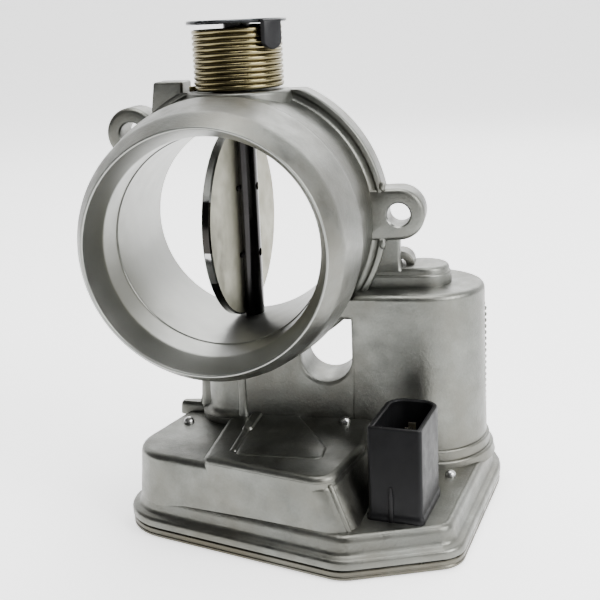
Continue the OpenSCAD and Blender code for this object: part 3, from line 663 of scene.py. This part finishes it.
@dataclass
class GearCase:
    """The case under the bore: walls, two roofs, the rim, and the cover below it."""

    circles: list[tuple[float, float, float]] = field(default_factory=lambda: [
        (-17.5, -23.2, 15.0), (34.9, -48.7, 8.0), (59.5, -42.2, 6.0), (53.3, 11.5, 21.5), (-8.4, 24.0, 10.0)])
    top_low: list[tuple[float, float, float]] = field(default_factory=lambda: [
        (-17.5, -23.2, 15.0), (34.2, -47.4, 7.4), (37.6, -27.0, 5.0), (36.0, 25.2, 8.0), (-8.4, 24.0, 10.0)])
    top_high: list[tuple[float, float, float]] = field(default_factory=lambda: [
        (-17.5, -23.2, 13.4), (27.4, -46.2, 6.3), (34.4, -27.0, 4.0), (33.0, 27.4, 5.0), (-8.4, 24.0, 8.4)])
    joint: float = -85.8
    upper: float = -62.0
    left: float = -64.3
    low: float = -77.5
    wall: float = 2.6
    upright: float = 3.0

    def rim_and_wall(self) -> Skin:
        """The low wall with its flange, a ring of its section carried round the case's outline.

        Returns:
            Vertices and faces.
        """
        joint, low, inside = self.joint, self.low, -self.wall
        section = [(2.8, joint), (2.8, joint + 1.7), (2.5, joint + 2.3), (1.9, joint + 2.7),
                   (0.8, joint + 2.9), (0.35, joint + 3.3), (0.05, joint + 4.2), (-0.3, low - 2.2),
                   (-0.55, low - 1.1), (-1.15, low - 0.35), (-2.0, low - 0.05), (inside, low - 0.05),
                   (inside, joint)]
        rings = [at_height(wrapped(self.circles, grow), z) for grow, z in section]
        return looped(np.stack(rings, 1)[:, ::-1])

    def low_roof(self) -> Skin:
        """The roof under the connector and the motor."""
        circles = [(36.0, -48.4, 7.7), *self.circles[2:4], (34.0, 24.0, 9.0)]
        return slab(circles, [(-2.2, self.low - 2.5), (-1.6, self.low - 1.4), (-1.6, self.low - 0.9),
                              (-2.1, self.low - 0.25), (-3.0, self.low)])

    def upper_block(self) -> Skin:
        """The tall part over the gears: a cup whose walls lean in, with a rounded top edge.

        Its circles slide evenly with height from top_low to top_high.

        Returns:
            Vertices and faces.
        """
        low, high = np.array(self.top_low), np.array(self.top_high)
        start = self.joint + self.upright
        outer = [(0.0, start), (0.0, self.low), (0.0, self.left - 5.0), *fillet(self.left, 1.9, 8)]
        inner = [(-self.wall, self.left - self.wall), (-self.wall, self.low), (-self.wall, start)]
        rings = []
        for grow, z in outer + inner:
            s = (z - self.joint - self.upright) / (self.left - self.joint - self.upright)
            rings.append(at_height(wrapped(low + (high - low) * s, grow), z))

        def drawn_in(ring: Array) -> Array:
            """The ring drawn in to a fiftieth of its width about its middle, at its own height."""
            middle = ring.mean(0) * [1, 1, 0]
            return ring * [0, 0, 1] + (ring * [1, 1, 0] - middle) * 0.02 + middle

        n = len(outer)
        ordered = [*rings[:n], drawn_in(rings[n - 1]), drawn_in(rings[n]), *rings[n:]]
        return looped(np.stack(ordered, 1)[:, ::-1])

    def plateau(self) -> Skin:
        """The higher roof to the right of the step at x = -7.3, with its rounded edge.

        Returns:
            Vertices and faces.
        """
        x, r = -3.9, 3.4
        circles = [(x, self.front_y(x) + r, r), *self.top_high[1:4], (x, 29.0, r)]
        levels = [(0.1, self.left - 3.0), (0.1, self.upper - 1.9), *fillet(self.upper, 1.9, 8)]
        return slab(circles, levels)

    def front_y(self, x: float) -> float:
        """Where the front wall's top edge lies, on the tangent of its two front circles.

        Args:
            x: place along the edge.

        Returns:
            The edge's y there.
        """
        (x0, y0, r0), (x1, y1, r1) = self.top_high[0], self.top_high[1]
        run = math.atan2(y1 - y0, x1 - x0) - math.acos((r0 - r1) / math.hypot(x1 - x0, y1 - y0))
        nx, ny = math.cos(run), math.sin(run)
        return (nx * x0 + ny * y0 + r0 - nx * x) / ny

    def relief(self) -> list[Skin]:
        """The shallow raised field, its two ridges, and the bead down the slanted front corner.

        Returns:
            (vertices, faces) of each.
        """
        roof = self.upper
        raised = [(4.0, -36.8, 1.6), (25.2, -37.6, 2.0), (25.6, -32.0, 1.6), (13.0, -8.6, 2.0),
                  (4.4, -8.6, 2.0)]
        ridge = [(0.9, -19.0, 0.95), (1.6, -19.0, 0.95), (2.0, -6.2, 1.1), (1.2, -6.2, 1.1)]
        thin = [(0.5, -35.8, 0.3), (1.0, -35.8, 0.3), (1.2, -19.0, 0.4), (0.7, -19.0, 0.4)]
        skins = [slab(raised, [(0.9, roof - 0.6), (0.5, roof + 0.02), (0.0, roof + 0.28),
                               (-0.8, roof + 0.38)])]
        for circles, height in ((ridge, 1.0), (thin, 0.6)):
            skins.append(slab(circles, [(0.7, roof - 0.6), (0.55, roof), (0.2, roof + height * 0.7),
                                        (-0.15, roof + height)]))
        skins.append(slab([(36.6, -52.6, 0.55), (37.0, -52.4, 0.55)],
                          [(0, -77.8), (0, -65.2), (-0.3, -64.6)],
                          [(31.5, -51.2, 0.5), (31.9, -51.0, 0.5)]))
        return skins

    def build(self) -> None:
        """Makes the case's piece."""
        skins = [self.rim_and_wall(), self.low_roof(), self.upper_block(), self.plateau(), *self.relief()]
        Placer.piece("gear_case_casting", skins, [CAST], Body.HOUSING, "cast_aluminium",
                     ("throttle_housing",))

    def cover(self) -> None:
        """The pressed cover: a sheet with a groove round its edge and a rounded lower rim."""
        top, bottom = self.joint - 0.6, self.joint - 3.6
        levels = [(1.4, bottom), (2.1, bottom + 0.12), (2.55, bottom + 0.5), (2.6, bottom + 1.1),
                  (2.35, bottom + 1.35), (2.35, bottom + 1.55), (2.6, bottom + 1.8), (2.6, top - 0.25),
                  (2.3, top)]
        Placer.piece("cover_sheet", [slab(self.circles, levels)], [COVER], Body.HOUSING, "cover_metal",
                     ("gear_cover",))


@dataclass
class MotorTower:
    """The upright motor housing, the web that joins it to the column, and the window in it."""

    x: float = 53.3
    y: float = 11.5
    r: float = 19.1
    front: float = -7.75
    top: float = -22.5
    foot: float = -78.5
    relief: float = 44.0
    behind: float = 9.6
    end_r: float = 1.2
    base: float = -62.0
    knobs: int = 18

    def tower(self, radius: float, levels: Sequence[tuple[float, float]], left: float, front: float,
              back: float) -> Skin:
        """A D-shaped tower: the motor's circle with a flat-sided arm to the left.

        Args:
            radius: the circle's radius.
            levels: (grow, z) from the bottom up.
            left: x of the arm's end.
            front: y of the arm's front face, where it meets the circle; not used.
            back: y of the arm's rear face.

        Returns:
            Vertices and faces.
        """
        end_r = self.end_r
        rings = []
        for grow, z in levels:
            t = np.linspace(-math.pi / 2, math.pi - math.asin(min(1, (back - self.y) / radius)), 72)
            r = radius + grow
            turn = np.column_stack([self.x + r * np.cos(t), self.y + r * np.sin(t)])
            lo, hi = self.y - radius - grow, back + grow
            edge = left - grow
            arc1 = np.linspace(math.pi / 2, math.pi, 7)
            arc2 = np.linspace(math.pi, 1.5 * math.pi, 7)
            e1 = np.column_stack([edge + end_r + end_r * np.cos(arc1), hi - end_r + end_r * np.sin(arc1)])
            e2 = np.column_stack([edge + end_r + end_r * np.cos(arc2), lo + end_r + end_r * np.sin(arc2)])
            outline = np.concatenate([turn, e1, e2])
            clear = math.sqrt(max(0.0, self.relief ** 2 - z ** 2))
            over = np.maximum(outline[:, 0], clear)
            outline[:, 0] = np.where(outline[:, 1] > self.behind, over, outline[:, 0])
            rings.append(at_height(outline, z))
        return stacked(rings)

    def web(self) -> Skin:
        """The web, a ring round the window: rays from the window's centre run to its own outline.

        Outwards each ray ends on a rectangle, or on the circle of radius IN_WALL in the bore's
        wall. Inwards it ends on the window, a slot with upright sides, a flat top and a round foot.

        Returns:
            Vertices and faces.
        """
        cx, cz, half, far = 24.5, -38.5, 7.9, 1e6
        x0, x1, z0, z1 = -6.0, 40.0, -66.0, -24.0
        window_foot, window_top, least = -42.2, -30.2, 1.8
        t = np.linspace(0, TURN, 192, endpoint=False)
        c, s = np.cos(t), np.sin(t)
        right = np.where(c > 0, (x1 - cx) / np.maximum(c, 1e-6), (x0 - cx) / np.minimum(c, -1e-6))
        up = np.where(s > 0, (z1 - cz) / np.maximum(s, 1e-6), (z0 - cz) / np.minimum(s, -1e-6))
        along = cx * c + cz * s
        meets = along ** 2 - (cx ** 2 + cz ** 2 - IN_WALL ** 2)
        neck = np.where((meets > 0) & (along < 0), -along - np.sqrt(np.maximum(meets, 0)), far)
        outer = np.minimum(np.minimum(right, up), neck)
        drop = window_foot - cz
        arc = drop * s + np.sqrt(np.maximum(half ** 2 - (drop * c) ** 2, 0))
        side = half / np.maximum(np.abs(c), 1e-6)
        lid = (window_top - cz) / np.maximum(s, 1e-6)
        straight = np.minimum(side, np.where(s > 0, lid, far))
        inner = np.where((s < 0) & (side * np.abs(s) > -drop), arc, straight)
        inner = np.minimum(inner, outer - least)
        front, back = self.front + 0.05, 9.5
        share = np.array([  # share of the way from window to outline, y, offset
            (0, back - 0.6, 0), (0, front + 1.4, 0), (0, front + 0.55, 0.2), (0, front + 0.12, 0.8),
            (0, front, 1.6), (1, front, 0), (1, back, 0), (0, back, 0.6),
        ])
        r = inner[:, None] + (outer - inner)[:, None] * share[None, :, 0] + share[None, :, 2]
        return looped(about_y(cx, cz, r, t[:, None], share[:, 1]))

    def column(self) -> list[Skin]:
        """The column under the bore, its flared foot, the thin rib beside it, its toe and the bead.

        Returns:
            (vertices, faces) of each.
        """
        base = self.base
        a = np.linspace(0.5 * math.pi, 1.5 * math.pi, 40)
        b = np.linspace(-0.5 * math.pi, 0.5 * math.pi, 14)

        def outline(grow: float) -> Array:
            """A slot, round at its left end and nearly square at its right.

            Args:
                grow: offset of the whole outline.

            Returns:
                Its points, one row each.
            """
            r = 8.6 + grow
            left = np.column_stack([-6.5 + r * np.cos(a), 0.9 + r * np.sin(a)])
            right = np.column_stack([-2.6 + (1.0 + grow) * np.cos(b), 0.9 + r * np.sin(b)])
            return np.concatenate([left, right])

        slim, flare = 0.15, 2.6
        body = outline(slim)
        top = np.column_stack([body, -np.sqrt(IN_WALL ** 2 - body[:, 0] ** 2)])
        curve = [(slim + flare * (1 - math.cos(q)), base + flare * (1 - math.sin(q)))
                 for q in np.linspace(0, math.pi / 2, 7)][::-1]
        rings = [at_height(outline(2.9), base - 3.5), *(at_height(outline(g), z) for g, z in curve), top]
        rib = slab([(-17.6, 3.0, 1.9), (-12.0, 3.0, 1.9)],
                   [(0.8, base - 3.5), (0.5, base + 0.6), (0, base + 3), (-0.5, -30.0)],
                   [(-16.2, 3.0, 1.6), (-12.0, 3.0, 1.6)])
        toe = slab([(-24.6, 3.2, 1.5), (-14.0, 3.2, 2.6)],
                   [(0.6, base - 3.5), (0.4, base - 0.6), (0.1, base + 0.2), (-0.5, base + 0.7)])
        bead = slab([(-3.1, -7.7, 0.95), (-2.5, -7.7, 0.95)],
                    [(0.9, base - 1), (0.5, base + 0.8), (0.1, base + 2.5), (0, -33.0)])
        return [stacked(rings), rib, toe, bead]

    def foot_rings(self) -> list[Skin]:
        """The two rounded steps round the motor housing's foot.

        Returns:
            (vertices, faces) of each.
        """
        steps = []
        for radius, z in ((20.7, -72.0), (22.0, -75.2)):
            levels = [(0.5, self.foot), (0.15, z - 2.2), *fillet(z, 0.8, 5)]
            steps.append(self.tower(radius, levels, 38.5, self.y - radius, 9.0))
        return steps

    def build(self) -> None:
        """Makes the tower's piece, with the two-step boss on its top."""
        wall = [(0.9, self.foot), (0.5, -60.0), (0.15, -40.0), *fillet(self.top, 2.0, 8)]
        step = [(0.3, self.top - 1.5), (0.25, self.top - 0.3), *fillet(-18.6, 0.9, 6)]
        boss = [(0.3, -19.5), *fillet(-16.6, 1.3, 6)]
        skins = [self.tower(self.r, wall, 32.6, self.front, 9.4), self.web(), *self.column(),
                 *self.foot_rings(), self.tower(8.7, step, 34.4, self.y - 8.7, 17.0),
                 self.tower(8.1, boss, 34.9, self.y - 8.1, 16.0), *self.serration()]
        Placer.piece("motor_tower_casting", skins, [CAST], Body.HOUSING, "cast_aluminium",
                     ("throttle_housing",))

    def serration(self) -> list[Skin]:
        """Two rows of small cast knobs down the right side of the motor housing.

        Returns:
            (vertices, faces) of each knob.
        """
        heights = np.linspace(-32, -66, self.knobs)
        out = self.r + 0.25
        skins = []
        for row, turn in ((0, 8.0), (1, 15.0)):
            a = math.radians(turn)
            for z in heights + row * 0.9:
                centre = np.array([self.x + out * math.cos(a), self.y + out * math.sin(a), z])
                skins.append(blob(centre, np.array([0.55, 0.9, 0.7]), 10, 6))
        return skins


@dataclass
class Valve:
    """The throttle plate on its shaft."""

    radius: float = 29.6
    thick: float = 2.7
    flat: float = -0.65
    turn: float = math.radians(-6.2)

    def build(self) -> None:
        """Makes the disc: circles about the plate's normal, with a small chamfer at each face."""
        t = np.linspace(0, TURN, 200, endpoint=False)
        back = self.flat - self.thick
        steps = [(8.0, back), (self.radius - 0.5, back), (self.radius, back + 0.45),
                 (self.radius, self.flat - 0.45), (self.radius - 0.5, self.flat), (8.0, self.flat)]
        rings = [np.column_stack([np.full_like(t, x), r * np.cos(t), r * np.sin(t)]) for r, x in steps]
        points, faces = stacked(rings)

        def pick(c: Array) -> Array:
            """The rim is polished, with dark stretches of painted reflection; the faces are not.

            Args:
                c: the faces' centres.

            Returns:
                0 for a face, 1 for the rim, 2 for its dark stretches of painted reflection.
            """
            r = np.hypot(np.hypot(c[:, 0], c[:, 1]), c[:, 2])
            # Painted reflection: near-black bands on the rim stand in for its reflections of dark
            # surroundings.
            painted_reflection_band = ((c[:, 2] > -5) & (c[:, 2] < 9.7)) | (c[:, 2] < -14)
            return np.where(r > self.radius - 0.35, np.where(painted_reflection_band, 2, 1), 0)

        Placer.piece("valve_disc", [(spun(points, self.turn), faces)], [PLATE, RIM, RIM_PAINTED_REFLECTION],
                     Body.THROTTLE, "plate_metal", ("throttle_plate",), pick, 25.0)


@dataclass
class Spring:
    """The torsion spring; its turns wind up smoothly between the housing and the shaft."""

    mean_r: float = 12.65
    wire: float = 1.72
    turns: float = 10.75
    low: float = 40.25
    high: float = 57.6
    start: float = math.radians(200)
    parts: int = 940
    sides: int = 14

    def build(self) -> None:
        """Sweeps a circle along a helix whose last bit at each end runs straight outwards."""
        t = np.linspace(0, 1, self.parts)
        a = self.start + TURN * self.turns * t
        z = self.low + (self.high - self.low) * t
        path = np.column_stack([self.mean_r * np.cos(a), self.mean_r * np.sin(a), z])
        for end, angle in ((0, a[0]), (-1, a[-1])):
            out = path[end] + np.array([math.cos(angle), math.sin(angle), 0]) * np.array([[0.8], [2.4]])
            path = np.vstack([out[::-1], path]) if end == 0 else np.vstack([path, out])
        step = np.gradient(path, axis=0)
        step /= np.linalg.norm(step, axis=1)[:, None]
        side = np.cross(step, [0, 0, 1.0])
        side /= np.linalg.norm(side, axis=1)[:, None]
        over = np.cross(side, step)
        k = np.linspace(0, TURN, self.sides, endpoint=False)[:, None]
        round_wire = np.cos(k) * side[:, None] + np.sin(k) * over[:, None]
        points, faces = stacked(path[:, None] + self.wire / 2 * round_wire)
        obj = Placer.piece("spring_coil", [(points, faces[:, ::-1])], [SPRING], None, "spring_wire",
                           ("return_spring",), crease=60)
        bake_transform(obj)


@dataclass
class SpringCap:
    """The thin disc on top of the spring, with its rounded hanging tab."""

    low: float = 58.6
    thick: float = 1.2
    radius: float = 14.9
    tab_turn: float = math.radians(-37)
    tab_w: float = 6.8
    tab_drop: float = 7.6

    def disc(self) -> Skin:
        """The disc as a ring round the shaft, with a small notch in its edge and rounded edges.

        Returns:
            Vertices and faces.
        """
        t = np.linspace(0, TURN, 180, endpoint=False)
        notch = np.exp(-((np.degrees(t) - 238) / 4.0) ** 6)
        r = self.radius - 1.3 * notch
        top = self.low + self.thick
        share = [(0, self.low, 4.05), (1, self.low, -0.3), (1, self.low + 0.3, 0), (1, top - 0.35, 0),
                 (1, top, -0.4), (0, top, 4.05)]
        grid = np.stack([np.stack([(r * s + d) * np.cos(t), (r * s + d) * np.sin(t), np.full_like(t, z)], -1)
                         for s, z, d in share], 1)
        return looped(grid)

    def tab(self) -> Skin:
        """The tab: a rounded tongue, extruded outwards, that hangs just outside the coil.

        Returns:
            Vertices and faces.
        """
        half, drop = self.tab_w / 2, self.tab_drop
        a = np.linspace(math.pi, TURN, 17)
        y = np.concatenate([half * np.cos(a), [half, -half]])
        z = np.concatenate([self.low - drop + half * 0.8 + half * 0.8 * np.sin(a), [self.low + 0.9] * 2])
        mid = z.mean()
        rings = [np.column_stack([np.full_like(y, x), y * k, mid + (z - mid) * k])
                 for x, k in ((14.75, 0.94), (14.9, 1.0), (15.9, 1.0), (16.25, 0.96), (16.4, 0.88))]
        points, faces = stacked(rings)
        return spun(points, self.tab_turn), faces

    def build(self) -> None:
        """Makes the cap's two pieces, the disc and its black tab."""
        Placer.piece("cap_disc", [self.disc()], [CAP], Body.THROTTLE, "dark_steel", ("spring_cap",))
        Placer.piece("cap_tab", [self.tab()], [TAB], Body.THROTTLE, "dark_steel", ("spring_cap",))


@dataclass
class Socket:
    """The black connector: an open shroud with a rib on its front, standing on the low roof."""

    x: float = 41.0
    y: float = -44.6
    turn: float = math.radians(-9.5)
    w: float = 15.7
    depth: float = 25.1
    top: float = -49.9
    foot: float = -77.6
    wall: float = 1.7
    floor: float = -69.5
    front_corner: float = 1.3
    rear_corner: float = 5.5

    def placed(self, points: Array) -> Array:
        """Turns and moves points from the socket's own corner."""
        c, s = math.cos(self.turn), math.sin(self.turn)
        return np.stack([self.x + c * points[..., 0] - s * points[..., 1],
                         self.y + s * points[..., 0] + c * points[..., 1], points[..., 2]], -1)

    def plan(self, grow: float, z: float) -> Array:
        """The plan's outline: tight front corners and rounder rear ones.

        Args:
            grow: offset of the whole outline.
            z: height of the outline.

        Returns:
            Its points, one row each.
        """
        tight, wide = self.front_corner, self.rear_corner
        circles = [(tight, tight, tight), (self.w - tight, tight, tight),
                   (self.w - wide, self.depth - wide, wide), (wide, self.depth - wide, wide)]
        return at_height(wrapped(circles, grow, 8, 6), z)

    def shroud(self) -> Skin:
        """Outside up, over the rounded mouth, down inside to the floor, closed at both ends.

        Returns:
            Vertices and faces.
        """
        levels = [(-0.9, self.foot - 4.5), (-0.9, self.foot), (0.5, self.foot), (0.5, self.foot + 1.5),
                  (0.25, self.foot + 1.8), (0.0, self.foot + 2.6), (-0.1, self.top - 0.5),
                  (-0.35, self.top - 0.1), (-0.7, self.top), (-self.wall + 0.35, self.top),
                  (-self.wall, self.top - 0.4), (-self.wall - 0.2, self.floor)]
        return stacked([self.placed(self.plan(g, z)) for g, z in levels])

    def ribs(self) -> list[Skin]:
        """The thin rib low on the front face and the two keys beside the mouth.

        Returns:
            (vertices, faces) of each.
        """
        rib = slab([(6.6, -0.2, 0.35), (7.0, -0.2, 0.35)],
                   [(0.2, self.foot), (0.15, self.foot + 7), (-0.2, self.foot + 10.5)])
        levels = [(0, self.floor), (0, self.top - 3), (-0.25, self.top - 2.5)]
        keys = [slab([(x0, y, 0.4), (x0 + 0.5, y, 0.4)], levels)
                for x0, y in ((self.wall + 0.1, 8.0), (self.w - self.wall - 0.6, 8.0))]
        return [(self.placed(points), faces) for points, faces in (rib, *keys)]

    def build(self) -> None:
        """Makes the socket's piece."""
        Placer.piece("socket_shroud", [self.shroud(), *self.ribs()], [PLASTIC], Body.HOUSING,
                     "black_plastic", ("connector_socket",), crease=40)


# ---------------------------------------------------------------- carried-over CAD nodes

NODE_FINISHES: dict[Finish, tuple[str, ...]] = {
    STEEL: ("cover_screws", "upper_bearing", "lower_bearing", "open_stop_pin", "closed_stop_pin",
            "idler_axle", "sealing_balls", "motor_can", "motor_wave_washer", "motor_mount_plate",
            "motor_screws", "plate_screws", "motor_shaft"),
    SHAFT: ("throttle_shaft", "plate_pins"),
    RUBBER: ("cover_gasket", "upper_shaft_seal", "lower_shaft_seal", "connector_gasket"),
    PLASTIC: ("motor_end_cap", "board_components", "position_sensor"),
    MAGNET: ("motor_magnets", "motor_brushes", "sensor_magnet"),
    BRONZE: ("motor_bushes", "pinion_gear"),
    COPPER: ("motor_leads", "armature", "commutator"),
    NYLON: ("sector_gear", "idler_gear"),
    BOARD: ("circuit_board",),
    TIN: ("connector_pins",),
}


def dress_nodes() -> None:
    """Gives every CAD node that stays its finish."""
    for finish, names in NODE_FINISHES.items():
        for name in names:
            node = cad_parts[name]
            node.data.materials.clear()
            node.data.materials.append(dressed(finish))
            log.info("%s: %s", name, finish.name)


# ---------------------------------------------------------------- studio


@dataclass
class Studio:
    """The floor, the lights and the camera."""

    eye: tuple[float, float, float] = (0.0772, -0.3256, 0.0598)
    azimuth: float = math.radians(11.05)
    elevation: float = math.radians(14.93)
    roll: float = math.radians(-2.51)
    lens: float = 63.78
    surround: float = 0.12
    floor_tone: float = 0.93
    floor_glow: float = 1.5

    def sheet(self, name: str, points: Array, color: float, glow: float) -> None:
        """A sheet over a grid of points, with a plain matt material that may glow a little.

        Args:
            name: the sheet's name.
            points: (rows, columns, 3) in metres.
            color: its grey.
            glow: strength of its own light.
        """
        rows, columns = points.shape[:2]
        i, j = np.meshgrid(np.arange(rows - 1), np.arange(columns - 1), indexing="ij")
        corner = (i * columns + j).reshape(-1)
        faces = np.stack([corner, corner + 1, corner + columns + 1, corner + columns], -1)
        mesh = bpy.data.meshes.new(name)
        mesh.from_pydata(points.reshape(-1, 3), [], faces.tolist())
        mesh.polygons.foreach_set("use_smooth", np.ones(len(mesh.polygons), bool))
        material = bpy.data.materials.new(name + "_paper")
        material.use_nodes = True
        shader = material.node_tree.nodes["Principled BSDF"]
        shader.inputs["Base Color"].default_value = (color, color, color, 1)
        shader.inputs["Roughness"].default_value = 0.95
        shader.inputs["Specular IOR Level"].default_value = 0.0
        shader.inputs["Emission Color"].default_value = (1, 1, 1, 1)
        shader.inputs["Emission Strength"].default_value = glow
        mesh.materials.append(material)
        obj = bpy.data.objects.new(name, mesh)
        bpy.context.scene.collection.objects.link(obj)

    def floor(self) -> None:
        """A wide pale sweep: level under the cover, then a quarter circle up into a wall."""
        low, bend, flat = CAD_BOX[0][2] - 0.0002, 0.8, 1.2
        a = np.linspace(0, math.pi / 2, 16)
        y = np.concatenate([[-4.0, -1.0], flat + bend * np.sin(a), [flat + bend]])
        z = np.concatenate([[low, low], low + bend * (1 - np.cos(a)), [low + 4.5]])
        x = np.linspace(-5, 5, 5)
        points = np.stack(np.broadcast_arrays(x[None], y[:, None], z[:, None]), -1)
        self.sheet("floor", points, self.floor_tone, self.floor_glow)

    def light(self, name: str, place: Sequence[float], target: Sequence[float], size: float, power: float,
              height: float | None = None) -> None:
        """An area light.

        Args:
            name: the light's name.
            place: where it stands, in metres.
            target: the point that it faces.
            size: its width.
            power: its power in watts.
            height: its height, or None for as high as wide.
        """
        data = bpy.data.lights.new(name, "AREA")
        data.energy = power
        data.shape = "RECTANGLE"
        data.size = size
        data.size_y = height or size
        obj = bpy.data.objects.new(name, data)
        obj.location = place
        obj.rotation_euler = (Vector(target) - Vector(place)).to_track_quat("-Z", "Y").to_euler()
        bpy.context.scene.collection.objects.link(obj)

    def lights(self) -> None:
        """A soft white surround and three lights: from the upper right, from above, from behind."""
        world = bpy.data.worlds.new("surround")
        world.use_nodes = True
        world.node_tree.nodes["Background"].inputs["Color"].default_value = (1, 1, 1, 1)
        world.node_tree.nodes["Background"].inputs["Strength"].default_value = self.surround
        bpy.context.scene.world = world
        middle = (0.02, -0.02, -0.02)
        self.light("key", (0.62, -0.30, 0.35), middle, 0.45, 9.0)
        self.light("top", (0.05, -0.05, 0.9), middle, 0.6, 11.0)
        self.light("back", (0.1, 0.75, 0.6), middle, 0.8, 6.0)

    def camera(self) -> None:
        """The camera, turned by azimuth, elevation and roll."""
        a, e, r = self.azimuth, self.elevation, self.roll
        back = Vector((math.sin(a) * math.cos(e), -math.cos(a) * math.cos(e), math.sin(e)))
        right = (-back).cross(Vector((0, 0, 1))).normalized()
        up = back.cross(right)
        tilt_right = right * math.cos(r) + up * math.sin(r)
        tilt_up = up * math.cos(r) - right * math.sin(r)
        turn = Matrix((tilt_right, tilt_up, back)).transposed().to_4x4()
        data = bpy.data.cameras.new("camera")
        data.lens = self.lens
        data.sensor_width = 36
        data.clip_start, data.clip_end = 0.01, 50
        obj = bpy.data.objects.new("camera", data)
        obj.matrix_world = Matrix.Translation(self.eye) @ turn
        bpy.context.scene.collection.objects.link(obj)
        bpy.context.scene.camera = obj


def main() -> None:
    """Builds the studio, the new pieces and the dressed CAD nodes."""
    logging.basicConfig(level=logging.INFO, format="%(name)s %(message)s")
    studio = Studio()
    studio.camera()
    studio.floor()
    studio.lights()
    AirBore().build()
    case = GearCase()
    case.build()
    case.cover()
    MotorTower().build()
    Valve().build()
    Spring().build()
    SpringCap().build()
    Socket().build()
    dress_nodes()


if __name__ == "__main__":
    main()
